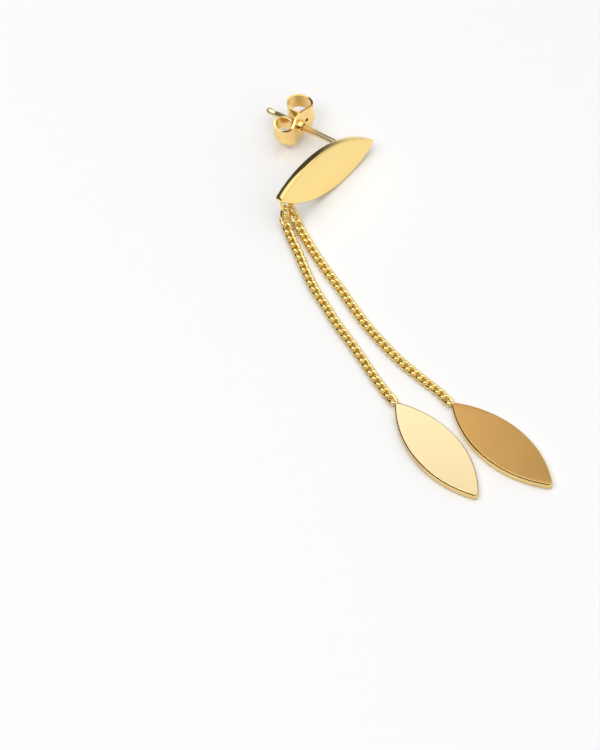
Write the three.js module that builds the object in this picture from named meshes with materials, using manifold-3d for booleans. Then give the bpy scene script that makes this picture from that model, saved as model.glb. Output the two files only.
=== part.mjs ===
// Gold drop earring: a polished navette stud with an ear post, a butterfly clutch on the post,
// and two curb chains that carry a polished and a satin navette pendant.
// Millimetres, +Z up. The earring lies on a flat surface: the stud stands on its lower rim and
// leans back on its post and clutch, and the chains and pendants lie in front of it.

import * as THREE from "three";
import { mergeVertices } from "three/addons/utils/BufferGeometryUtils.js";
import Module from "manifold-3d";

const wasm = await Module();
wasm.setup();

// Navette plates: the stud and both pendants
const plateLength = 16.5;
const plateWidth = 5.8;
const plateThickness = 0.95;
const plateTipRadius = 0.4;
const plateEdgeBevel = 0.08;

// Pose of the stud on the surface
const studYaw = 14.8;
const studDip = 12.8;
const studLean = 15;

// Ear post, soldered to the back of the stud above its middle
const postRadius = 0.4;
const postLength = 11.3;
const postAlong = 4;
const postUp = 1;
const postLean = 7.1;
const postSwing = 4.4;
const postNotchFromEnd = 1.4;
const postNotchWidth = 0.3;
const postNotchDepth = 0.07;
const solderDepth = 0.2;

// Loop soldered to the back of the stud near its lower tip
const loopWire = 0.4;
const loopHalfLength = 1.15;
const loopHalfHeight = 1.1;
const loopFromTip = 2.35;
const loopDrop = 1.4;
const loopSink = 0.08;

// Butterfly clutch: one strip, bent into a scroll on each side of the post
const lobeGap = 6.1;
const clutchSheet = 0.24;
const clutchReach = { upper: 3.48, lower: 2.6 };
const clutchScrollDepth = { upper: 3.24, lower: 2.72 };
const clutchBore = 0.5;
const clutchPostGap = 0.28;
const clutchCollarHeight = 0.45;
const clutchCollarWall = 0.22;
const clutchCollarFlare = 0.12;
const boreSides = 20;
const clutchRoll = 15.7;
const clutchYaw = 2.2;
const clutchLean = 3.8;
const clutchMiddle = 2;
const clutchWaist = 1.06;
const clutchArmEnd = 0.95;
const clutchSkew = { upper: 0.3, lower: 0.65 };
const clutchSkewTo = 0.9;
const clutchBase = 0.22;
const clutchWaistAt = 0.46;
const clutchArmFrom = 0.8;
const clutchDish = 0.25;
const clutchDishFrom = 0.06;
const clutchCurl = 300;

// Curb chain
const linkWire = 0.38;
const linkPitch = 0.99;
const linkWidth = 1.3;
const linkTwist = 0.2;
const linkBite = 0.15;
const endLinkGap = 0.05;
const endLinkWire = 0.32;
const endLinkHalfLength = 0.74;
const endLinkHalfWidth = 0.52;
const linkSides = 10;
const wireSides = 5;

// Eye soldered to the upper tip of each pendant
const eyeWire = 0.24;
const eyeRadius = 0.36;
const eyeReach = 0.12;

// Places of the pendants on the surface: upper tip, and heading from that tip
const pendants = [
  { finish: "polished", tip: [-10.84, -31.68], heading: -88.3 },
  { finish: "matte", tip: [-5.35, -35.29], heading: -79 },
];

// Routes of the two chains from the stud to the pendants, chosen by hand, with the point below
// the middle of the stud's face as zero
const chainRoutes = {
  polished: [
    [-7.18, -1.83, 0.95], [-7.36, -2.6, 0.5], [-7.78, -4.17, 0.41],
    [-8.34, -6.64, 0.41], [-9.04, -9.36, 0.41], [-9.6, -12.17, 0.41], [-9.91, -15.13, 0.41],
    [-10.22, -18.1, 0.41], [-10.34, -21.2, 0.41], [-10.55, -24.23, 0.41], [-10.8, -27.19, 0.41],
    [-10.88, -29.5, 0.41],
  ],
  matte: [
    [-5.97, -1.98, 1.3], [-6.03, -2.72, 0.68], [-6.2, -3.7, 0.41], [-6.38, -5.1, 0.41],
    [-6.72, -7.68, 0.41], [-6.93, -10.71, 0.41], [-7.05, -13.81, 0.41], [-7.26, -16.84, 0.41],
    [-7.37, -19.93, 0.41], [-7.24, -23.18, 0.41], [-6.92, -26.56, 0.41], [-6.2, -30.19, 0.41],
    [-5.62, -32.81, 0.41],
  ],
};
const loopHolds = { polished: 247, matte: 278 };
const loopSquareness = 0.6;

// Materials
const gold = { polished: 0xf2cf80, matte: 0xcfa468, chain: 0xe3b054, clutch: 0xe9bf70 };

function metal(color, roughness) {
  return new THREE.MeshStandardMaterial({ color, roughness, metalness: 1 });
}

// Solids for joining and cutting
function toSolid(geometry, matrix) {
  const bare = geometry.clone();
  for (const name of Object.keys(bare.attributes)) {
    if (name !== "position") bare.deleteAttribute(name);
  }
  if (matrix) bare.applyMatrix4(matrix);
  const merged = mergeVertices(bare, 1e-4);
  const index = merged.index.array;
  const triangles = [];
  for (let i = 0; i < index.length; i += 3) {
    const [a, b, c] = [index[i], index[i + 1], index[i + 2]];
    if (a !== b && b !== c && c !== a) triangles.push(a, b, c);
  }
  return new wasm.Manifold(new wasm.Mesh({
    numProp: 3,
    vertProperties: new Float32Array(merged.attributes.position.array),
    triVerts: new Uint32Array(triangles),
  }));
}

function toGeometry(solid) {
  const mesh = solid.getMesh();
  const geometry = new THREE.BufferGeometry();
  geometry.setAttribute("position", new THREE.BufferAttribute(mesh.vertProperties, 3));
  geometry.setIndex(new THREE.BufferAttribute(mesh.triVerts, 1));
  geometry.computeVertexNormals();
  return geometry;
}

// Navette outline: two arcs that end in small round tips
function navetteShape() {
  const halfLength = plateLength / 2;
  const halfWidth = plateWidth / 2;
  const tipCentre = halfLength - plateTipRadius;
  const sideRadius = (tipCentre ** 2 + halfWidth ** 2 - plateTipRadius ** 2)
    / (2 * (halfWidth - plateTipRadius));
  const sideCentre = sideRadius - halfWidth;
  const sideAngle = Math.atan2(tipCentre, sideCentre);
  const right = Math.PI / 2 - sideAngle;
  const shape = new THREE.Shape();
  shape.absarc(0, -sideCentre, sideRadius, right, Math.PI - right, false);
  shape.absarc(-tipCentre, 0, plateTipRadius, Math.PI - right, Math.PI + right, false);
  shape.absarc(0, sideCentre, sideRadius, Math.PI + right, 2 * Math.PI - right, false);
  shape.absarc(tipCentre, 0, plateTipRadius, -right, right, false);
  return shape;
}

// Plate with its outline in X and Y, from its back at zero up to its face
function plateGeometry() {
  const geometry = new THREE.ExtrudeGeometry(navetteShape(), {
    depth: plateThickness - 2 * plateEdgeBevel,
    bevelEnabled: true,
    bevelThickness: plateEdgeBevel,
    bevelSize: plateEdgeBevel,
    bevelOffset: -plateEdgeBevel,
    bevelSegments: 1,
    curveSegments: 14,
  });
  geometry.translate(0, 0, plateEdgeBevel);
  return geometry;
}

// Closed ring whose wire follows centre(t) for t from 0 to a full turn
function wireRing(centre, wireRadius, sides = linkSides, rim = wireSides) {
  const geometry = new THREE.TorusGeometry(1, wireRadius, rim, sides);
  const position = geometry.attributes.position;
  const step = 1e-3;
  const up = new THREE.Vector3(0, 0, 1);
  for (let i = 0; i < position.count; i++) {
    const x = position.getX(i);
    const y = position.getY(i);
    const t = Math.atan2(y, x);
    const outward = Math.hypot(x, y) - 1;
    const here = centre(t);
    const tangent = centre(t + step).sub(centre(t - step)).normalize();
    const side = new THREE.Vector3().crossVectors(tangent, up).normalize();
    const top = new THREE.Vector3().crossVectors(side, tangent);
    here.addScaledVector(side, outward).addScaledVector(top, position.getZ(i));
    position.setXYZ(i, here.x, here.y, here.z);
  }
  return geometry;
}

// The stud's own frame: X along the plate to its upper tip, Y out of its back, Z across it
const studFrame = new THREE.Group();
studFrame.rotation.order = "ZYX";
studFrame.rotation.set(
  THREE.MathUtils.degToRad(-studLean),
  THREE.MathUtils.degToRad(studDip),
  THREE.MathUtils.degToRad(studYaw),
);

// The post's frame: Y along the post, from the back of the plate
const postFrame = new THREE.Group();
postFrame.position.set(postAlong, plateThickness, postUp);
postFrame.rotation.x = THREE.MathUtils.degToRad(postLean);
postFrame.rotation.z = THREE.MathUtils.degToRad(postSwing);
studFrame.add(postFrame);

// The loop's middle line is an oval with flat sides, square to the back of the plate
function loopOval(t) {
  const squared = (value) => Math.sign(value) * Math.abs(value) ** loopSquareness;
  return new THREE.Vector3(
    loopHalfLength * squared(Math.cos(t)), loopHalfHeight * squared(Math.sin(t)), 0,
  );
}

function loopMatrix() {
  return new THREE.Matrix4().makeRotationX(Math.PI / 2).setPosition(
    -plateLength / 2 + loopFromTip, plateThickness + loopWire / 2 - loopSink, -loopDrop,
  );
}

function loopPoint(degrees) {
  return loopOval(THREE.MathUtils.degToRad(degrees)).applyMatrix4(loopMatrix());
}

function postGeometry() {
  const notchStart = postLength - postNotchFromEnd;
  const notchRadius = postRadius - postNotchDepth;
  const profile = [
    new THREE.Vector2(0, -solderDepth),
    new THREE.Vector2(postRadius, -solderDepth),
    new THREE.Vector2(postRadius, notchStart),
    new THREE.Vector2(notchRadius, notchStart + postNotchWidth / 3),
    new THREE.Vector2(notchRadius, notchStart + 2 * postNotchWidth / 3),
    new THREE.Vector2(postRadius, notchStart + postNotchWidth),
  ];
  for (const degrees of [0, 30, 60]) {
    const angle = THREE.MathUtils.degToRad(degrees);
    profile.push(new THREE.Vector2(
      postRadius * Math.cos(angle),
      postLength - postRadius + postRadius * Math.sin(angle),
    ));
  }
  profile.push(new THREE.Vector2(0, postLength));
  return new THREE.LatheGeometry(profile, 16);
}

function studGeometry() {
  const plate = plateGeometry();
  plate.rotateX(Math.PI / 2);
  plate.translate(0, plateThickness, 0);
  postFrame.updateMatrix();
  const post = toSolid(postGeometry(), postFrame.matrix);
  const loop = toSolid(wireRing(loopOval, loopWire / 2, 24, 8), loopMatrix());
  return toGeometry(toSolid(plate).add(post).add(loop));
}

// Half of the strip's middle line, from the bore outwards and round the scroll. Share runs from
// 0 at the bore to 1 at the strip's end; X is away from the post, Y away from the stud.
function stripPoint(share, side) {
  const scrollHalfDepth = (clutchScrollDepth[side] - clutchSheet) / 2;
  const scrollInner = postRadius + clutchPostGap + clutchSheet / 2;
  const scrollHalfWidth = (clutchReach[side] - clutchSheet / 2 - scrollInner) / 2;
  const scrollCentre = scrollInner + scrollHalfWidth;
  if (share <= clutchBase) {
    const dished = clutchDish * (1 - THREE.MathUtils.smoothstep(share, clutchDishFrom, clutchBase));
    return new THREE.Vector2(scrollCentre * share / clutchBase, clutchSheet / 2 + dished);
  }
  const turned = (share - clutchBase) / (1 - clutchBase) * clutchCurl;
  const angle = THREE.MathUtils.degToRad(turned - 90);
  return new THREE.Vector2(
    scrollCentre + scrollHalfWidth * Math.cos(angle),
    clutchSheet / 2 + scrollHalfDepth * (1 + Math.sin(angle)),
  );
}

function stripHalfHeight(share) {
  const ease = THREE.MathUtils.smoothstep;
  if (share < clutchWaistAt) {
    return clutchMiddle + (clutchWaist - clutchMiddle) * ease(share, 0, clutchWaistAt);
  }
  return clutchWaist
    + (clutchArmEnd - clutchWaist) * ease(share, clutchWaistAt, clutchArmFrom);
}

function clutchGeometry() {
  const segments = 64;
  const strip = new THREE.BoxGeometry(2, 1, 2, segments, 1, 1);
  const position = strip.attributes.position;
  const step = 1e-3;
  for (let i = 0; i < position.count; i++) {
    const along = position.getX(i);
    const share = Math.min(Math.abs(along), 1);
    const hand = along < 0 ? -1 : 1;
    const side = along < 0 ? "lower" : "upper";
    const here = stripPoint(share, side);
    const ahead = stripPoint(share + step, side).sub(stripPoint(share - step, side)).normalize();
    const thickness = position.getY(i) * clutchSheet;
    const x = share < 1e-6 ? 0 : here.x - ahead.y * thickness;
    const y = share < 1e-6 ? here.y + thickness : here.y + ahead.x * thickness;
    const skew = clutchSkew[side] * THREE.MathUtils.smoothstep(share, clutchWaistAt, clutchSkewTo);
    position.setXYZ(i, hand * x, y, position.getZ(i) * stripHalfHeight(share) + skew);
  }
  const collarRadius = clutchBore + clutchCollarWall;
  const collar = new THREE.CylinderGeometry(
    collarRadius, collarRadius + clutchCollarFlare, clutchCollarHeight + clutchSheet / 2, boreSides,
  );
  collar.rotateX(Math.PI);
  collar.translate(0, clutchDish + (clutchSheet / 2 - clutchCollarHeight) / 2, 0);
  const boreLength = 2 * (clutchCollarHeight + clutchDish + clutchSheet);
  const bore = new THREE.CylinderGeometry(clutchBore, clutchBore, boreLength, boreSides);
  return toGeometry(toSolid(strip).add(toSolid(collar)).subtract(toSolid(bore)));
}

function pendantGeometry() {
  const plate = plateGeometry();
  const eye = wireRing((t) => new THREE.Vector3(
    eyeRadius * Math.cos(t), eyeRadius * Math.sin(t), 0,
  ), eyeWire / 2, 14, 6);
  eye.rotateX(Math.PI / 2);
  eye.translate(-plateLength / 2 - eyeReach, 0, plateThickness / 2);
  return toGeometry(toSolid(plate).add(toSolid(eye)));
}

// Middle lines of the links, with X along the chain
const linkHalfLength = (linkPitch + linkWire - linkBite) / 2;
const linkHalfWidth = (linkWidth - linkWire) / 2;

function curbLink(t) {
  return new THREE.Vector3(
    linkHalfLength * Math.cos(t), linkHalfWidth * Math.sin(t), linkTwist * Math.sin(2 * t),
  );
}

function endLink(t) {
  return new THREE.Vector3(endLinkHalfLength * Math.cos(t), endLinkHalfWidth * Math.sin(t), 0);
}

function linkMatrix(place, ahead, up) {
  const side = new THREE.Vector3().crossVectors(up, ahead).normalize();
  const top = new THREE.Vector3().crossVectors(ahead, side);
  return new THREE.Matrix4().makeBasis(ahead, side, top).setPosition(place);
}

// From the middle of an end link to the middle of the curb link next to it
const endPitch = endLinkHalfLength + linkHalfLength - (linkWire + endLinkWire) / 2 + linkBite;

// A chain from the loop on the stud to a pendant's eye, fused into one body
function chainGeometry(route, loopAt, loopAlong, eyeAt) {
  const points = route.map((point) => new THREE.Vector3(...point));
  const firstAhead = points[0].clone().sub(loopAt).normalize();
  const reach = endLinkHalfLength - endLinkWire / 2 - loopWire / 2 - endLinkGap;
  const first = loopAt.clone().addScaledVector(firstAhead, reach);
  const lastAhead = eyeAt.clone().sub(points[points.length - 1]).normalize();
  const last = eyeAt.clone().addScaledVector(lastAhead, -endLinkHalfLength);
  const curve = new THREE.CatmullRomCurve3([first, ...points, last], false, "centripetal");
  curve.arcLengthDivisions = 800;
  const length = curve.getLength();
  const count = Math.round((length - 2 * endPitch) / linkPitch);
  const pitch = (length - 2 * endPitch) / count;
  const end = wireRing(endLink, endLinkWire / 2);
  const curb = wireRing(curbLink, linkWire / 2);
  const up = new THREE.Vector3(0, 0, 1);
  let chain = toSolid(end, linkMatrix(last, lastAhead, up));
  for (let i = count; i >= 0; i--) {
    const share = (endPitch + i * pitch) / length;
    const ahead = curve.getTangentAt(share);
    up.addScaledVector(ahead, -up.dot(ahead)).normalize();
    chain = chain.add(toSolid(curb, linkMatrix(curve.getPointAt(share), ahead, up)));
  }
  return toGeometry(chain.add(toSolid(end, linkMatrix(first, firstAhead, loopAlong))));
}

// Assembly
const studMesh = new THREE.Mesh(studGeometry(), metal(gold.polished, 0.15));
studMesh.name = "ear_stud";
studFrame.add(studMesh);

const clutchMesh = new THREE.Mesh(clutchGeometry(), metal(gold.clutch, 0.2));
clutchMesh.name = "ear_clutch";
clutchMesh.position.y = lobeGap;
clutchMesh.rotation.order = "YXZ";
clutchMesh.rotation.y = THREE.MathUtils.degToRad(-clutchRoll);
clutchMesh.rotation.z = THREE.MathUtils.degToRad(clutchYaw);
clutchMesh.rotation.x = THREE.MathUtils.degToRad(clutchLean);
postFrame.add(clutchMesh);

const earring = new THREE.Group();
earring.add(studFrame);

studFrame.updateMatrixWorld(true);
const standing = new THREE.Box3().setFromObject(studFrame, true);
studFrame.position.z = -standing.min.z;
studFrame.updateMatrixWorld(true);

for (const { finish, tip, heading } of pendants) {
  const turn = THREE.MathUtils.degToRad(heading);
  const ahead = new THREE.Vector3(Math.cos(turn), Math.sin(turn), 0);
  const upperTip = new THREE.Vector3(tip[0], tip[1], 0);
  const roughness = finish === "matte" ? 0.55 : 0.15;
  const pendant = new THREE.Mesh(pendantGeometry(), metal(gold[finish], roughness));
  pendant.name = `pendant_${finish}`;
  pendant.position.copy(upperTip).addScaledVector(ahead, plateLength / 2);
  pendant.rotation.z = turn;
  earring.add(pendant);

  const eyeAt = upperTip.clone().addScaledVector(ahead, -eyeReach - eyeWire / 4);
  eyeAt.z = plateThickness / 2;
  const hold = loopHolds[finish];
  const loopAt = loopPoint(hold).applyMatrix4(studFrame.matrixWorld);
  const loopAlong = loopPoint(hold + 1).sub(loopPoint(hold - 1))
    .transformDirection(studFrame.matrixWorld);
  const chain = new THREE.Mesh(
    chainGeometry(chainRoutes[finish], loopAt, loopAlong, eyeAt), metal(gold.chain, 0.25),
  );
  chain.name = `chain_${finish}`;
  earring.add(chain);
}

// Origin under the middle of the whole earring, on the surface
earring.updateMatrixWorld(true);
const whole = new THREE.Box3().setFromObject(earring, true);
earring.position.set(
  -(whole.min.x + whole.max.x) / 2,
  -(whole.min.y + whole.max.y) / 2,
  -whole.min.z,
);

export default earring;
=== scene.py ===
"""Gold drop earring as it lies on a white surface: a polished navette stud with an ear post,
a butterfly clutch on the post, and two curb chains that carry navette pendants."""

import bisect
import math

import bpy
from mathutils import Matrix, Vector


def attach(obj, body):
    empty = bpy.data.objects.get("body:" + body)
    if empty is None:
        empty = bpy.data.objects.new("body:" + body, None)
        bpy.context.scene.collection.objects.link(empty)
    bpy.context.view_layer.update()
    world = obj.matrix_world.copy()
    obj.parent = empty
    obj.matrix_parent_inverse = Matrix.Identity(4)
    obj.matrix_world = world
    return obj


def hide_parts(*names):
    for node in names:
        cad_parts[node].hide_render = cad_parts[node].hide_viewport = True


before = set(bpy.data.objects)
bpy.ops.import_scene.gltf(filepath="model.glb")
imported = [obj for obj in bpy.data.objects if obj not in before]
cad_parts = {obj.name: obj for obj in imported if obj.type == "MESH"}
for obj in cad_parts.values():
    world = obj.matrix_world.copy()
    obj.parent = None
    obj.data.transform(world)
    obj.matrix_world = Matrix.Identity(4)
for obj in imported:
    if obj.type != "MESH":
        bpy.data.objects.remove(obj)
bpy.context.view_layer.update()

# All sizes are in millimetres, as in the CAD model, and meshes are written in metres
MM = 0.001

# Navette plates
PLATE_LENGTH = 16.5
PLATE_WIDTH = 5.8
PLATE_THICKNESS = 0.95
PLATE_TIP_RADIUS = 0.4
PLATE_EDGE_BEVEL = 0.12
PLATE_EDGE_SOFT = 0.02
PLATE_EDGE_SOFT_START = 0.2
PLATE_CROWN = 0.04
PLATE_CROWN_STEPS = 10
PLATE_ARC_STEPS = 40
PLATE_TIP_STEPS = 10

# The stud's frame: X along the plate to its upper tip, Y out of its back, Z across it
ROUTE_ZERO = Vector((2.87031, 19.40479, 0))
STUD_HEIGHT = 3.30957
STUD_YAW = 14.8
STUD_DIP = 12.8
STUD_LEAN = 15

# Ear post, with the solder fillet at its foot and the notch near its end
POST_RADIUS = 0.4
POST_LENGTH = 11.3
POST_ALONG = 4
POST_UP = 1
POST_LEAN = 7.1
POST_SWING = 4.4
POST_SIDES = 40
POST_FOOT_SINK = 0.05
POST_FILLET = 0.22
POST_FILLET_STEPS = 4
POST_NOTCH_FROM_END = 1.4
POST_NOTCH_WIDTH = 0.3
POST_NOTCH_DEPTH = 0.07
POST_TIP_STEPS = 8
POST_TIP_FLAT = 0.05

# Section of the notch, as shares of its width and of its depth
POST_NOTCH_SECTION = [(0, 0), (0.15, 0.5), (0.4, 1), (0.6, 1), (0.85, 0.5), (1, 0)]

# Loop on the back of the stud, an oval with soft corners
LOOP_WIRE = 0.4
LOOP_HALF_LENGTH = 1.15
LOOP_HALF_HEIGHT = 1.1
LOOP_FROM_TIP = 2.35
LOOP_DROP = 1.4
LOOP_SINK = 0.08
LOOP_SQUARENESS = 0.6
LOOP_STEPS = 72
LOOP_SIDES = 14

# Butterfly clutch: 1 is the upper scroll and -1 the lower one
LOBE_GAP = 6.1
CLUTCH_ROLL = 15.7
CLUTCH_YAW = 2.2
CLUTCH_LEAN = 3.8
CLUTCH_SHEET = 0.24
CLUTCH_REACH = {1: 3.48, -1: 2.6}
CLUTCH_SCROLL_DEPTH = {1: 3.24, -1: 2.72}
CLUTCH_POST_GAP = 0.28
CLUTCH_CURL = 300
CLUTCH_SEGMENTS = 192
CLUTCH_HEIGHTS = 48

# Half heights of the strip at its middle, waist and end
CLUTCH_MIDDLE = 2
CLUTCH_WAIST = 1.06
CLUTCH_ARM_END = 0.95

# How far each scroll stands off to one side at its end
CLUTCH_SKEW = {1: 0.3, -1: 0.65}

# Places along half the strip, as shares of it
CLUTCH_BASE = 0.22
CLUTCH_WAIST_AT = 0.46
CLUTCH_ARM_FROM = 0.8
CLUTCH_SKEW_TO = 0.9

# Dish round the bore, and the collar that stands in it
CLUTCH_DISH = 0.25
CLUTCH_DISH_FROM = 0.06
CLUTCH_BORE = 0.5
CLUTCH_COLLAR_HEIGHT = 0.45
CLUTCH_COLLAR_WALL = 0.22
CLUTCH_COLLAR_FLARE = 0.12
CLUTCH_COLLAR_FLARE_HEIGHT = 0.2
CLUTCH_COLLAR_LIP = 0.05
CLUTCH_COLLAR_SIDES = 48

# Stamped lines on the scrolls: height as a share of half the strip, depth and half width
CLUTCH_LINES = [(0.78, 0.03, 0.06), (0.3, 0.03, 0.06)]
CLUTCH_LINES_FROM = 0.34
CLUTCH_LINES_TO = 0.8
CLUTCH_DASH = (-0.36, 0.06, 0.08)
CLUTCH_DASH_FROM = 0.44
CLUTCH_DASH_TO = 0.58

# Dimple beside the bore, and the steps in which its place on the strip is looked for
CLUTCH_DIMPLE = {"along": 1.15, "height": -0.1, "radius": 0.3, "depth": 0.09}
CLUTCH_DIMPLE_RINGS = 16
CLUTCH_DIMPLE_SIDES = 32
STRIP_STEPS = 200
STRIP_BASE_STEPS = 56

# Curb chain: the links are drawn with stouter wire than the lay is worked out with
LINK_WIRE = 0.38
LINK_PITCH = 0.99
LINK_WIDTH = 1.14
LINK_TWIST = -0.18
LINK_DRAWN_WIRE = 0.46
LINK_BITE = 0.15
LINK_DRAWN_BITE = 0.08
LINK_STEPS = 36
LINK_SIDES = 12
END_LINK_GAP = 0.05
END_LINK_WIRE = 0.32
END_LINK_TWIST = -0.16
END_LINK_HALF_LENGTH = 0.74
END_LINK_HALF_WIDTH = 0.4

# Eye on the upper tip of each pendant
EYE_WIRE = 0.24
EYE_RADIUS = 0.36
EYE_REACH = 0.12
EYE_STEPS = 40
EYE_SIDES = 12

# Upper tips and headings of the pendants, with the point below the stud's face as zero
PENDANTS = {
    "polished": {"tip": (-10.84, -31.68), "heading": -88.3},
    "matte": {"tip": (-5.35, -35.29), "heading": -79},
}

# Routes of the chains, from the same zero
CHAIN_ROUTES = {
    "polished": [
        (-7.18, -1.83, 0.95), (-7.36, -2.6, 0.5), (-7.78, -4.17, 0.41),
        (-8.34, -6.64, 0.41), (-9.04, -9.36, 0.41), (-9.6, -12.17, 0.41), (-9.91, -15.13, 0.41),
        (-10.22, -18.1, 0.41), (-10.34, -21.2, 0.41), (-10.55, -24.23, 0.41), (-10.8, -27.19, 0.41),
        (-10.88, -29.5, 0.41),
    ],
    "matte": [
        (-5.97, -1.98, 1.3), (-6.03, -2.72, 0.68), (-6.2, -3.7, 0.41), (-6.38, -5.1, 0.41),
        (-6.72, -7.68, 0.41), (-6.93, -10.71, 0.41), (-7.05, -13.81, 0.41), (-7.26, -16.84, 0.41),
        (-7.37, -19.93, 0.41), (-7.24, -23.18, 0.41), (-6.92, -26.56, 0.41), (-6.2, -30.19, 0.41),
        (-5.62, -32.81, 0.41),
    ],
}
ROUTE_DIVISIONS = 800

# Where each chain hangs on the loop, in degrees round it
LOOP_HOLDS = {"polished": 247, "matte": 278}

# Small step for the direction of a curve, and the angle from which an edge is sharp
CURVE_STEP = 1e-3
SHARP_ANGLE = 40

# Golds: colour, roughness, and the grain's scale and height in metres
FINE_GRAIN = (900, 0.0000003)
STAMPED_GRAIN = (2500, 0.000001)
SATIN_GRAIN = (9000, 0.000003)
POLISHED_LOOK = ((1.0, 0.76, 0.3), 0.08, FINE_GRAIN)
# Polished pendant's face: a paler, whiter copy of the polished gold, a painted highlight
PAINTED_HIGHLIGHT_FACE = ((0.96, 0.77, 0.44), 0.08, FINE_GRAIN)
SATIN_LOOK = ((0.62, 0.36, 0.115), 0.42, SATIN_GRAIN)
# Pendant walls: a darker copy of the polished gold, painted shade on the plates' sides
PAINTED_SHADE_WALLS = ((0.82, 0.6, 0.24), 0.08, FINE_GRAIN)
# Ear post: a paler copy of the polished gold, a painted highlight along the post
POST_PAINTED_HIGHLIGHT = ((1.0, 0.84, 0.5), 0.36, FINE_GRAIN)
CHAIN_LOOK = ((0.93, 0.71, 0.27), 0.07, FINE_GRAIN)
CLUTCH_LOOK = ((1.0, 0.7, 0.27), 0.17, STAMPED_GRAIN)
GLOSS_SPREAD = 0.15
NOISE_DETAIL = 3

# Levels of the faces' colour at two places along Y, painted light and shade that fall from the upper
# tips towards the lower ones, and how strongly the faces' own tone is mottled
# Painted highlight on the polished pendant's face, fading along Y from its upper tip
PAINTED_HIGHLIGHT_FADE = [(-13, 1.06), (-27, 0.92)]
POLISHED_FACE_MOTTLE = 0
# Painted light and shade on the satin face: lighter at its upper tip, darker towards its lower tip;
# the mottle is its own uneven tone
SATIN_PAINTED_SHADE = [(-17, 1.18), (-31, 0.86)]
SATIN_MOTTLE = 0.05
MOTTLE_SCALE = 260

# White surface, with its half size in metres
FLOOR_HALF = 3
FLOOR_LEVEL = 0.95
FLOOR_ROUGHNESS = 0.08
FLOOR_SPECULAR = 0.5

# Studio: levels from straight down to straight up, and the bright side to the right
WORLD_STOPS = [(0.0, 0.05), (0.64, 0.07), (0.7, 1.15), (0.79, 1.08), (0.88, 1.0), (1.0, 2.1)]
WORLD_BRIGHT_SIDE = (0.84, -0.54, 0)
WORLD_SIDE_FROM = -0.15
WORLD_SIDE_TO = 0.35
WORLD_SIDE_LEVEL = 0.7

# Softbox, in degrees and metres
SOFTBOX_AZIMUTH = 262
SOFTBOX_ELEVATION = 60
SOFTBOX_DISTANCE = 0.5
SOFTBOX_SIZE = 0.3
SOFTBOX_POWER = 0.5

# Camera, as in the photograph, with its near and far clip in metres
CAMERA_AZIMUTH = -32.7
CAMERA_ELEVATION = 52
CAMERA_AIM = Vector((-14.85, -2.18, 0))
CAMERA_LENS = 1200
CAMERA_SENSOR = 36
CAMERA_DISTANCE = 2917
CAMERA_CLIP = (0.01, 20)


def turn(degrees, axis):
    return Matrix.Rotation(math.radians(degrees), 4, axis)


def smoothstep(value, low, high):
    share = min(max((value - low) / (high - low), 0), 1)
    return share * share * (3 - 2 * share)


def heading_of(degrees):
    """Level direction at an angle from X."""
    angle = math.radians(degrees)
    return Vector((math.cos(angle), math.sin(angle), 0))


def direction(azimuth, elevation):
    """Direction from the earring. Azimuth 0 is on the -Y side, and both are in degrees."""
    a = math.radians(azimuth)
    e = math.radians(elevation)
    return Vector((math.sin(a) * math.cos(e), -math.cos(a) * math.cos(e), math.sin(e)))


# Frames of the pieces, in millimetres
STUD_FRAME = (
    Matrix.Translation(ROUTE_ZERO + Vector((0, 0, STUD_HEIGHT)))
    @ turn(STUD_YAW, "Z") @ turn(STUD_DIP, "Y") @ turn(-STUD_LEAN, "X")
)
POST_FRAME = (
    STUD_FRAME @ Matrix.Translation((POST_ALONG, PLATE_THICKNESS, POST_UP))
    @ turn(POST_LEAN, "X") @ turn(POST_SWING, "Z")
)
CLUTCH_FRAME = (
    POST_FRAME @ Matrix.Translation((0, LOBE_GAP, 0))
    @ turn(-CLUTCH_ROLL, "Y") @ turn(CLUTCH_LEAN, "X") @ turn(CLUTCH_YAW, "Z")
)
LOOP_FRAME = (
    STUD_FRAME
    @ Matrix.Translation((
        -PLATE_LENGTH / 2 + LOOP_FROM_TIP, PLATE_THICKNESS + LOOP_WIRE / 2 - LOOP_SINK, -LOOP_DROP,
    ))
    @ turn(90, "X")
)


class Shape:
    """Vertices in millimetres and faces, gathered for one piece."""

    def __init__(self):
        self.verts = []
        self.faces = []

    def rows(self, rows, closed_rows, closed_ring, matrix):
        """Joins rows of points, each of the same length, with quads."""
        start = len(self.verts)
        width = len(rows[0])
        for row in rows:
            self.verts.extend(matrix @ Vector(point) for point in row)
        for i in range(len(rows) if closed_rows else len(rows) - 1):
            here = start + i * width
            after = start + (i + 1) % len(rows) * width
            for j in range(width if closed_ring else width - 1):
                k = (j + 1) % width
                self.faces.append((here + j, here + k, after + k, after + j))
        return start

    def cap(self, ring_start, width, flip):
        ring = list(range(ring_start, ring_start + width))
        self.faces.append(tuple(reversed(ring)) if flip else tuple(ring))

    def mesh(self, name):
        mesh = bpy.data.meshes.new(name)
        mesh.from_pydata([vert * MM for vert in self.verts], [], self.faces)
        return mesh

    def piece(self, name, body, node, slot, material):
        mesh = self.mesh(name)
        mesh.validate()
        mesh.update()
        piece = add_object(name, mesh)
        mesh.materials.append(material)
        for polygon in mesh.polygons:
            polygon.use_smooth = True
        mesh.set_sharp_from_angle(angle=math.radians(SHARP_ANGLE))
        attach(piece, body)
        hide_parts(node)
        return piece


def add_object(name, data):
    made = bpy.data.objects.new(name, data)
    bpy.context.scene.collection.objects.link(made)
    return made


def wire_ring(shape, centre, wire_radius, steps, sides, matrix):
    """Closed ring whose wire follows centre(t) for t from 0 to a full turn."""
    rows = []
    up = Vector((0, 0, 1))
    for i in range(steps):
        t = 2 * math.pi * i / steps
        here = centre(t)
        along = (centre(t + CURVE_STEP) - centre(t - CURVE_STEP)).normalized()
        side = along.cross(up).normalized()
        top = side.cross(along)
        row = []
        for j in range(sides):
            angle = 2 * math.pi * j / sides
            row.append(here + wire_radius * (math.cos(angle) * side + math.sin(angle) * top))
        rows.append(row)
    shape.rows(rows, True, True, matrix)


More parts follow.
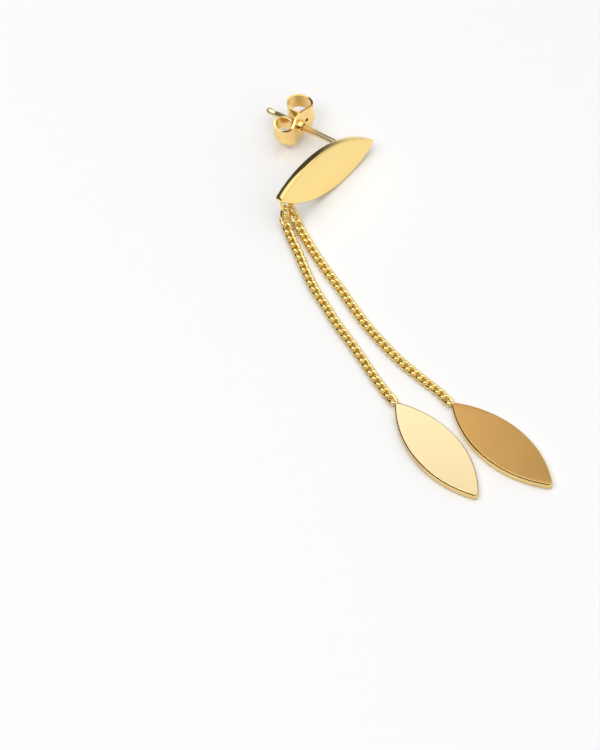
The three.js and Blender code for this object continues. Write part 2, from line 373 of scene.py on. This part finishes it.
def navette_outline(inset):
    """Outline of the plate, moved inwards by inset: two arcs that end in small round tips."""
    tip_centre = PLATE_LENGTH / 2 - PLATE_TIP_RADIUS
    half_width = PLATE_WIDTH / 2
    side_radius = (
        (tip_centre ** 2 + half_width ** 2 - PLATE_TIP_RADIUS ** 2)
        / (2 * (half_width - PLATE_TIP_RADIUS))
    )
    side_centre = side_radius - half_width
    side_angle = math.atan2(tip_centre, side_centre)
    right = math.pi / 2 - side_angle
    left = math.pi - right
    arcs = [
        (0, -side_centre, side_radius, right, left, PLATE_ARC_STEPS),
        (-tip_centre, 0, PLATE_TIP_RADIUS, left, math.pi + right, PLATE_TIP_STEPS),
        (0, side_centre, side_radius, math.pi + right, 2 * math.pi - right, PLATE_ARC_STEPS),
        (tip_centre, 0, PLATE_TIP_RADIUS, -right, right, PLATE_TIP_STEPS),
    ]
    points = []
    for x, y, radius, first, last, steps in arcs:
        for i in range(steps):
            angle = first + (last - first) * i / steps
            points.append((
                x + (radius - inset) * math.cos(angle),
                y + (radius - inset) * math.sin(angle),
            ))
    return points


def plate(shape, matrix):
    """Plate with its outline in X and Y and its thickness along Z, with rounded edges."""
    bevel = PLATE_EDGE_BEVEL
    soft = PLATE_EDGE_SOFT
    start = PLATE_EDGE_SOFT_START * soft
    levels = [
        (bevel + soft, 0), (bevel, start), (bevel - soft, soft),
        (soft, bevel - soft), (start, bevel), (0, bevel + soft),
    ]
    sections = levels + [(inset, PLATE_THICKNESS - height) for inset, height in reversed(levels)]
    rows = [[(x, y, z) for x, y in navette_outline(inset)] for inset, z in sections]
    rim = [(x, y) for x, y, _ in rows[-1]]
    for i in range(1, PLATE_CROWN_STEPS):
        share = 1 - i / PLATE_CROWN_STEPS
        height = PLATE_THICKNESS + PLATE_CROWN * (1 - share ** 2)
        rows.append([(x * share, y * share, height) for x, y in rim])
    first = shape.rows(rows, False, True, matrix)
    width = len(rim)
    shape.cap(first, width, True)
    shape.cap(first + (len(rows) - 1) * width, width, False)


def circles(profile, sides, hand):
    """Rows of points round Y, from (radius, y) pairs, turning the way that hand gives."""
    rows = []
    for radius, y in profile:
        row = []
        for j in range(sides):
            angle = 2 * math.pi * j / sides
            row.append((radius * math.cos(angle), y, hand * radius * math.sin(angle)))
        rows.append(row)
    return rows


def lathe(shape, profile, sides, matrix):
    """Turned form round Y, closed at both ends."""
    rows = circles(profile, sides, -1)
    start = shape.rows(rows, False, True, matrix)
    shape.cap(start, sides, True)
    shape.cap(start + (len(rows) - 1) * sides, sides, False)


def loop_oval(t):
    def squared(value):
        return math.copysign(abs(value) ** LOOP_SQUARENESS, value)
    return Vector((
        LOOP_HALF_LENGTH * squared(math.cos(t)), LOOP_HALF_HEIGHT * squared(math.sin(t)), 0,
    ))


def loop_point(degrees):
    return LOOP_FRAME @ loop_oval(math.radians(degrees))


def post_profile():
    """Radius and distance from the plate, from the solder fillet to the rounded end."""
    profile = [(POST_RADIUS + POST_FILLET, -POST_FOOT_SINK)]
    for i in range(POST_FILLET_STEPS + 1):
        angle = math.pi / 2 * i / POST_FILLET_STEPS
        profile.append((
            POST_RADIUS + POST_FILLET * (1 - math.sin(angle)), POST_FILLET * (1 - math.cos(angle)),
        ))
    notch = POST_LENGTH - POST_NOTCH_FROM_END
    for along, deep in POST_NOTCH_SECTION:
        profile.append((POST_RADIUS - POST_NOTCH_DEPTH * deep, notch + POST_NOTCH_WIDTH * along))
    tip_centre = POST_LENGTH - POST_RADIUS
    for i in range(POST_TIP_STEPS):
        angle = math.pi / 2 * i / POST_TIP_STEPS
        profile.append((POST_RADIUS * math.cos(angle), tip_centre + POST_RADIUS * math.sin(angle)))
    profile.append((POST_RADIUS * POST_TIP_FLAT, POST_LENGTH))
    return profile


def make_stud(material, post_highlight_material):
    shape = Shape()
    back_up = Matrix.Translation((0, PLATE_THICKNESS, 0)) @ turn(90, "X")
    plate(shape, STUD_FRAME @ back_up)
    shape.piece("stud_plate", "earring", "ear_stud", "polished_gold", material)

    shape = Shape()
    lathe(shape, post_profile(), POST_SIDES, POST_FRAME)
    # The post takes the paler gold, a painted highlight
    shape.piece("ear_post", "earring", "ear_stud", "polished_gold", post_highlight_material)

    shape = Shape()
    wire_ring(shape, loop_oval, LOOP_WIRE / 2, LOOP_STEPS, LOOP_SIDES, LOOP_FRAME)
    shape.piece("stud_loop", "earring", "ear_stud", "polished_gold", material)


def strip_point(share, hand):
    """Middle line of half the clutch's strip: X away from the post, Y away from the stud."""
    half_depth = (CLUTCH_SCROLL_DEPTH[hand] - CLUTCH_SHEET) / 2
    inner = POST_RADIUS + CLUTCH_POST_GAP + CLUTCH_SHEET / 2
    half_width = (CLUTCH_REACH[hand] - CLUTCH_SHEET / 2 - inner) / 2
    centre = inner + half_width
    if share <= CLUTCH_BASE:
        dished = CLUTCH_DISH * (1 - smoothstep(share, CLUTCH_DISH_FROM, CLUTCH_BASE))
        return Vector((centre * share / CLUTCH_BASE, CLUTCH_SHEET / 2 + dished))
    turned = (share - CLUTCH_BASE) / (1 - CLUTCH_BASE) * CLUTCH_CURL
    angle = math.radians(turned - 90)
    return Vector((
        centre + half_width * math.cos(angle),
        CLUTCH_SHEET / 2 + half_depth * (1 + math.sin(angle)),
    ))


def strip_direction(share, hand):
    if share == 0:
        return Vector((1, 0))
    after = strip_point(share + CURVE_STEP, hand)
    before = strip_point(share - CURVE_STEP, hand)
    return (after - before).normalized()


def strip_half_height(share):
    if share < CLUTCH_WAIST_AT:
        grow = smoothstep(share, 0, CLUTCH_WAIST_AT)
        return CLUTCH_MIDDLE + (CLUTCH_WAIST - CLUTCH_MIDDLE) * grow
    shrink = smoothstep(share, CLUTCH_WAIST_AT, CLUTCH_ARM_FROM)
    return CLUTCH_WAIST + (CLUTCH_ARM_END - CLUTCH_WAIST) * shrink


def stamped(share, height):
    """Depth of the stamped lines on the outside of a scroll."""
    if not CLUTCH_LINES_FROM < share < CLUTCH_LINES_TO:
        return 0
    lines = list(CLUTCH_LINES)
    if CLUTCH_DASH_FROM < share < CLUTCH_DASH_TO:
        lines.append(CLUTCH_DASH)
    return sum(deep * math.exp(-((height - at) / half) ** 2) for at, deep, half in lines)


def strip_row(along, section):
    """Points round the strip's section at a place from -1, the lower end, to 1."""
    share = abs(along)
    hand = -1 if along < 0 else 1
    here = strip_point(share, hand)
    ahead = strip_direction(share, hand)
    half = strip_half_height(share)
    skew = CLUTCH_SKEW[hand] * smoothstep(share, CLUTCH_WAIST_AT, CLUTCH_SKEW_TO)
    row = []
    for thickness, height in section:
        if thickness < 0:
            thickness += stamped(share, height)
        row.append((
            hand * (here.x - ahead.y * thickness), here.y + ahead.x * thickness,
            height * half + skew,
        ))
    return row


def make_clutch(material):
    """The strip with its two scrolls, cut for its bore and dimple, then the collar."""
    edge = CLUTCH_SHEET / 2
    heights = [1 - 2 * i / CLUTCH_HEIGHTS for i in range(CLUTCH_HEIGHTS + 1)]
    section = [(edge, height) for height in heights]
    section += [(-edge, -height) for height in heights]
    places = [-1 + 2 * i / CLUTCH_SEGMENTS for i in range(CLUTCH_SEGMENTS + 1)]
    shape = Shape()
    start = shape.rows([strip_row(along, section) for along in places], False, True, CLUTCH_FRAME)
    width = len(section)
    shape.cap(start, width, False)
    shape.cap(start + CLUTCH_SEGMENTS * width, width, True)
    strip = shape.piece("clutch_strip", "clutch", "ear_clutch", "clutch_gold", material)
    cut_with(strip, bore_cutter())
    cut_with(strip, dimple_cutter())

    outer = CLUTCH_BORE + CLUTCH_COLLAR_WALL
    foot = CLUTCH_DISH + CLUTCH_SHEET / 2
    top = CLUTCH_DISH - CLUTCH_COLLAR_HEIGHT
    lip = CLUTCH_COLLAR_LIP
    profile = [
        (CLUTCH_BORE, foot), (CLUTCH_BORE, top + lip), (CLUTCH_BORE + lip, top),
        (outer - lip, top), (outer, top + lip),
        (outer + CLUTCH_COLLAR_FLARE / 2, foot - CLUTCH_COLLAR_FLARE_HEIGHT),
        (outer + CLUTCH_COLLAR_FLARE, foot),
    ]
    shape = Shape()
    shape.rows(circles(profile, CLUTCH_COLLAR_SIDES, 1), True, True, CLUTCH_FRAME)
    shape.piece("clutch_collar", "clutch", "ear_clutch", "clutch_gold", material)


def bore_cutter():
    reach = CLUTCH_COLLAR_HEIGHT + CLUTCH_DISH + CLUTCH_SHEET
    profile = [(CLUTCH_BORE, -reach), (CLUTCH_BORE, reach + CLUTCH_DISH)]
    cutter = Shape()
    lathe(cutter, profile, CLUTCH_COLLAR_SIDES, CLUTCH_FRAME)
    return cutter


def dimple_cutter():
    """Ball that dents the front of the clutch's base beside the bore."""
    along = CLUTCH_DIMPLE["along"]
    radius = CLUTCH_DIMPLE["radius"]
    base = [strip_point(i / STRIP_STEPS, 1) for i in range(STRIP_BASE_STEPS)]
    nearest = min(base, key=lambda point: abs(point.x - along))
    centre = nearest.y - CLUTCH_SHEET / 2 - radius + CLUTCH_DIMPLE["depth"]
    profile = []
    for i in range(1, CLUTCH_DIMPLE_RINGS):
        angle = math.pi * (i / CLUTCH_DIMPLE_RINGS - 0.5)
        profile.append((radius * math.cos(angle), radius * math.sin(angle)))
    place = Matrix.Translation((along, centre, CLUTCH_DIMPLE["height"]))
    cutter = Shape()
    lathe(cutter, profile, CLUTCH_DIMPLE_SIDES, CLUTCH_FRAME @ place)
    return cutter


def cut_with(piece, cutter):
    """Cuts a hole in a piece and throws the cutter away."""
    tool = add_object("cutter", cutter.mesh("cutter"))
    cut = piece.modifiers.new("bore", "BOOLEAN")
    cut.operation = "DIFFERENCE"
    cut.solver = "EXACT"
    cut.object = tool
    bpy.context.view_layer.update()
    graph = bpy.context.evaluated_depsgraph_get()
    baked = bpy.data.meshes.new_from_object(piece.evaluated_get(graph))
    piece.modifiers.clear()
    baked.name = piece.name
    piece.data = baked
    bpy.data.objects.remove(tool)


def eye_ring(t):
    return Vector((EYE_RADIUS * math.cos(t), EYE_RADIUS * math.sin(t), 0))


def make_pendant(finish, material, shaded_walls_material, eye_material):
    place = PENDANTS[finish]
    tip = ROUTE_ZERO + Vector((*place["tip"], 0))
    centre = tip + heading_of(place["heading"]) * PLATE_LENGTH / 2
    matrix = Matrix.Translation(centre) @ turn(place["heading"], "Z")
    slot = "satin_gold" if finish == "matte" else "polished_gold"
    shape = Shape()
    plate(shape, matrix)
    piece = shape.piece(f"plate_{finish}", "earring", f"pendant_{finish}", slot, material)
    # The plate's sides take the darker gold, painted shade; its top face keeps the face's gold
    piece.data.materials.append(shaded_walls_material)
    face_height = (PLATE_THICKNESS - PLATE_EDGE_SOFT / 2) * MM
    for polygon in piece.data.polygons:
        polygon.material_index = 0 if polygon.center.z > face_height else 1

    shape = Shape()
    eye_matrix = (
        matrix @ Matrix.Translation((-PLATE_LENGTH / 2 - EYE_REACH, 0, PLATE_THICKNESS / 2))
        @ turn(90, "X")
    )
    wire_ring(shape, eye_ring, EYE_WIRE / 2, EYE_STEPS, EYE_SIDES, eye_matrix)
    shape.piece(f"eye_{finish}", "earring", f"pendant_{finish}", "polished_gold", eye_material)


# Middle lines of the links, with X along the chain
LINK_HALF_LENGTH = (LINK_PITCH + LINK_WIRE - LINK_BITE) / 2
LINK_HALF_WIDTH = (LINK_WIDTH - LINK_WIRE) / 2
LINK_DRAWN_HALF_LENGTH = (LINK_PITCH + LINK_WIRE) / 2 - LINK_DRAWN_BITE
END_PITCH = END_LINK_HALF_LENGTH + LINK_HALF_LENGTH - (LINK_WIRE + END_LINK_WIRE) / 2 + LINK_BITE


def curb_link(t):
    return Vector((
        LINK_DRAWN_HALF_LENGTH * math.cos(t), LINK_HALF_WIDTH * math.sin(t),
        LINK_TWIST * math.sin(2 * t),
    ))


def end_link(t):
    return Vector((
        END_LINK_HALF_LENGTH * math.cos(t), END_LINK_HALF_WIDTH * math.sin(t),
        END_LINK_TWIST * math.sin(2 * t),
    ))


def add_link(shape, curve, place, ahead, up):
    """Link with its length along ahead and its face towards up."""
    side = up.cross(ahead).normalized()
    top = ahead.cross(side)
    basis = Matrix((ahead, side, top)).transposed().to_4x4()
    matrix = Matrix.Translation(place) @ basis
    wire_ring(shape, curve, LINK_DRAWN_WIRE / 2, LINK_STEPS, LINK_SIDES, matrix)


class Route:
    """Smooth curve through points, read by distance along it."""

    def __init__(self, points):
        first = 2 * points[0] - points[1]
        last = 2 * points[-1] - points[-2]
        self.points = [first, *points, last]
        self.spans = len(points) - 1
        self.lengths = [0.0]
        before = self.at(0)
        for i in range(1, ROUTE_DIVISIONS + 1):
            here = self.at(i / ROUTE_DIVISIONS)
            self.lengths.append(self.lengths[-1] + (here - before).length)
            before = here
        self.length = self.lengths[-1]

    def at(self, share):
        """Point on a centripetal Catmull-Rom curve, from 0 to 1."""
        place = min(max(share, 0), 1) * self.spans
        span = min(int(place), self.spans - 1)
        t = place - span
        p0, p1, p2, p3 = self.points[span:span + 4]
        d0, d1, d2 = [math.sqrt((b - a).length) for a, b in ((p0, p1), (p1, p2), (p2, p3))]
        start = ((p1 - p0) / d0 - (p2 - p0) / (d0 + d1) + (p2 - p1) / d1) * d1
        finish = ((p2 - p1) / d1 - (p3 - p1) / (d1 + d2) + (p3 - p2) / d2) * d1
        square = -3 * p1 + 3 * p2 - 2 * start - finish
        cube = 2 * p1 - 2 * p2 + start + finish
        return p1 + t * start + t * t * square + t ** 3 * cube

    def share_at(self, distance_share):
        target = distance_share * self.length
        i = min(max(bisect.bisect_left(self.lengths, target), 1), ROUTE_DIVISIONS)
        low, high = self.lengths[i - 1], self.lengths[i]
        return (i - 1 + (target - low) / (high - low)) / ROUTE_DIVISIONS

    def point(self, distance_share):
        return self.at(self.share_at(distance_share))

    def ahead(self, distance_share):
        step = CURVE_STEP / 10
        share = self.share_at(distance_share)
        return (self.at(share + step) - self.at(share - step)).normalized()


def make_chain(finish, material):
    """Links from the pendant's eye, along the route, to the stud's loop."""
    place = PENDANTS[finish]
    down = heading_of(place["heading"])
    eye_at = ROUTE_ZERO + Vector((*place["tip"], 0)) - down * (EYE_REACH + EYE_WIRE / 4)
    eye_at.z = PLATE_THICKNESS / 2
    hold = LOOP_HOLDS[finish]
    loop_at = loop_point(hold)
    loop_along = (loop_point(hold + 1) - loop_point(hold - 1)).normalized()
    points = [ROUTE_ZERO + Vector(point) for point in CHAIN_ROUTES[finish]]
    first_ahead = (points[0] - loop_at).normalized()
    reach = END_LINK_HALF_LENGTH - END_LINK_WIRE / 2 - LOOP_WIRE / 2 - END_LINK_GAP
    first = loop_at + first_ahead * reach
    last_ahead = (eye_at - points[-1]).normalized()
    last = eye_at - last_ahead * END_LINK_HALF_LENGTH
    route = Route([first, *points, last])
    count = round((route.length - 2 * END_PITCH) / LINK_PITCH)
    pitch = (route.length - 2 * END_PITCH) / count
    shape = Shape()
    up = Vector((0, 0, 1))
    add_link(shape, end_link, last, last_ahead, up)
    for i in range(count, -1, -1):
        share = (END_PITCH + i * pitch) / route.length
        ahead = route.ahead(share)
        up = (up - up.dot(ahead) * ahead).normalized()
        add_link(shape, curb_link, route.point(share), ahead, up)
    add_link(shape, end_link, first, first_ahead, loop_along)
    shape.piece(f"links_{finish}", "earring", f"chain_{finish}", "chain_gold", material)


def shader_node(tree, kind, values):
    made = tree.nodes.new(kind)
    for name, value in values.items():
        made.inputs[name].default_value = value
    return made


def gold(name, look):
    """Gold plating: a metal shader with a fine bump and slightly uneven gloss."""
    color, roughness, (grain_scale, grain_height) = look
    material = bpy.data.materials.new(name)
    material.use_nodes = True
    tree = material.node_tree
    shader = tree.nodes["Principled BSDF"]
    shader.inputs["Base Color"].default_value = (*color, 1)
    shader.inputs["Metallic"].default_value = 1
    place = tree.nodes.new("ShaderNodeTexCoord")
    grain = shader_node(tree, "ShaderNodeTexNoise", {"Scale": grain_scale, "Detail": NOISE_DETAIL})
    bump = shader_node(tree, "ShaderNodeBump", {"Strength": 1, "Distance": grain_height})
    gloss = shader_node(tree, "ShaderNodeMapRange", {
        "To Min": roughness * (1 - GLOSS_SPREAD), "To Max": roughness * (1 + GLOSS_SPREAD),
    })
    tree.links.new(place.outputs["Object"], grain.inputs["Vector"])
    tree.links.new(grain.outputs["Fac"], bump.inputs["Height"])
    tree.links.new(grain.outputs["Fac"], gloss.inputs["Value"])
    tree.links.new(gloss.outputs["Result"], shader.inputs["Roughness"])
    tree.links.new(bump.outputs["Normal"], shader.inputs["Normal"])
    return material


def paint_light_and_shade_on_y(material, color, shade, mottle):
    """Paints light and shade into a colour: its level changes slowly along Y between two places,
    times soft patches of uneven tone.
    """
    (first_y, first_level), (last_y, last_level) = shade
    tree = material.node_tree
    place = tree.nodes.new("ShaderNodeTexCoord")
    split = tree.nodes.new("ShaderNodeSeparateXYZ")
    level = shader_node(tree, "ShaderNodeMapRange", {
        "From Min": last_y * MM, "From Max": first_y * MM,
        "To Min": last_level, "To Max": first_level,
    })
    patches = shader_node(tree, "ShaderNodeTexNoise", {"Scale": MOTTLE_SCALE, "Detail": NOISE_DETAIL})
    patch_level = shader_node(tree, "ShaderNodeMapRange", {
        "To Min": 1 - 2 * mottle, "To Max": 1 + 2 * mottle,
    })
    both = tree.nodes.new("ShaderNodeMath")
    both.operation = "MULTIPLY"
    tint = tree.nodes.new("ShaderNodeVectorMath")
    tint.operation = "SCALE"
    tint.inputs[0].default_value = color
    tree.links.new(place.outputs["Object"], split.inputs["Vector"])
    tree.links.new(place.outputs["Object"], patches.inputs["Vector"])
    tree.links.new(split.outputs["Y"], level.inputs["Value"])
    tree.links.new(patches.outputs["Fac"], patch_level.inputs["Value"])
    tree.links.new(level.outputs["Result"], both.inputs[0])
    tree.links.new(patch_level.outputs["Result"], both.inputs[1])
    tree.links.new(both.outputs["Value"], tint.inputs["Scale"])
    tree.links.new(tint.outputs["Vector"], tree.nodes["Principled BSDF"].inputs["Base Color"])


def make_floor():
    half = FLOOR_HALF
    corners = [(-half, -half, 0), (half, -half, 0), (half, half, 0), (-half, half, 0)]
    mesh = bpy.data.meshes.new("floor")
    mesh.from_pydata(corners, [], [(0, 1, 2, 3)])
    floor = add_object("floor", mesh)
    material = bpy.data.materials.new("white_surface")
    material.use_nodes = True
    shader = material.node_tree.nodes["Principled BSDF"]
    shader.inputs["Base Color"].default_value = (FLOOR_LEVEL, FLOOR_LEVEL, FLOOR_LEVEL, 1)
    shader.inputs["Roughness"].default_value = FLOOR_ROUGHNESS
    shader.inputs["Specular IOR Level"].default_value = FLOOR_SPECULAR
    mesh.materials.append(material)


def make_world():
    """White studio: bright overhead and to the right, with dark flags low down on the left."""
    world = bpy.data.worlds.new("studio")
    bpy.context.scene.world = world
    world.use_nodes = True
    tree = world.node_tree
    place = tree.nodes.new("ShaderNodeTexCoord")
    split = tree.nodes.new("ShaderNodeSeparateXYZ")
    ramp = tree.nodes.new("ShaderNodeValToRGB")
    elements = ramp.color_ramp.elements
    elements[0].position = WORLD_STOPS[0][0]
    elements[1].position = WORLD_STOPS[-1][0]
    for position, _ in WORLD_STOPS[1:-1]:
        elements.new(position)
    for element, (_, level) in zip(elements, WORLD_STOPS):
        element.color = (level, level, level, 1)
    lean = tree.nodes.new("ShaderNodeVectorMath")
    lean.operation = "DOT_PRODUCT"
    lean.inputs[1].default_value = WORLD_BRIGHT_SIDE
    side = shader_node(tree, "ShaderNodeMapRange", {
        "From Min": WORLD_SIDE_FROM, "From Max": WORLD_SIDE_TO,
        "To Min": 0, "To Max": WORLD_SIDE_LEVEL,
    })
    brighter = tree.nodes.new("ShaderNodeMath")
    brighter.operation = "MAXIMUM"
    background = tree.nodes["Background"]
    background.inputs["Strength"].default_value = 1
    tree.links.new(place.outputs["Generated"], split.inputs["Vector"])
    tree.links.new(place.outputs["Generated"], lean.inputs[0])
    tree.links.new(split.outputs["Z"], ramp.inputs["Fac"])
    tree.links.new(lean.outputs["Value"], side.inputs["Value"])
    tree.links.new(side.outputs["Result"], brighter.inputs[0])
    tree.links.new(ramp.outputs["Color"], brighter.inputs[1])
    tree.links.new(brighter.outputs["Value"], background.inputs["Color"])


def aim(made, away, place):
    """Puts a light or camera at a place, looking against the direction away."""
    made.location = place
    made.rotation_mode = "QUATERNION"
    made.rotation_quaternion = (-away).to_track_quat("-Z", "Y")


def make_light():
    """Softbox aimed at the earring from the left."""
    data = bpy.data.lights.new("softbox_left", "AREA")
    data.shape = "RECTANGLE"
    data.size = SOFTBOX_SIZE
    data.size_y = SOFTBOX_SIZE
    data.energy = SOFTBOX_POWER
    light = add_object("softbox_left", data)
    away = direction(SOFTBOX_AZIMUTH, SOFTBOX_ELEVATION)
    aim(light, away, away * SOFTBOX_DISTANCE)


def make_camera():
    data = bpy.data.cameras.new("camera")
    data.lens = CAMERA_LENS
    data.sensor_width = CAMERA_SENSOR
    data.clip_start, data.clip_end = CAMERA_CLIP
    camera = add_object("camera", data)
    away = direction(CAMERA_AZIMUTH, CAMERA_ELEVATION)
    aim(camera, away, (CAMERA_AIM + away * CAMERA_DISTANCE) * MM)
    bpy.context.scene.camera = camera


gold_polished = gold("gold_polished", POLISHED_LOOK)
gold_painted_highlight = gold("gold_painted_highlight", PAINTED_HIGHLIGHT_FACE)
gold_satin = gold("gold_satin", SATIN_LOOK)
# Paints light and shade along the satin pendant's face, with patches of its own uneven tone
paint_light_and_shade_on_y(gold_satin, SATIN_LOOK[0], SATIN_PAINTED_SHADE, SATIN_MOTTLE)
# Paints a highlight on the polished pendant's face that fades towards its lower tip
paint_light_and_shade_on_y(gold_painted_highlight, PAINTED_HIGHLIGHT_FACE[0], PAINTED_HIGHLIGHT_FADE, POLISHED_FACE_MOTTLE)
# Darker gold for the pendants' sides, painted shade
gold_shaded_walls = gold("gold_shaded_walls", PAINTED_SHADE_WALLS)
gold_highlighted_post = gold("gold_highlighted_post", POST_PAINTED_HIGHLIGHT)
gold_chain = gold("gold_chain", CHAIN_LOOK)
gold_clutch = gold("gold_clutch", CLUTCH_LOOK)

make_stud(gold_polished, gold_highlighted_post)
make_clutch(gold_clutch)
make_pendant("polished", gold_painted_highlight, gold_shaded_walls, gold_polished)
make_pendant("matte", gold_satin, gold_shaded_walls, gold_polished)
make_chain("polished", gold_chain)
make_chain("matte", gold_chain)

make_floor()
make_world()
make_light()
make_camera()

scene = bpy.context.scene
scene.view_settings.view_transform = "Standard"
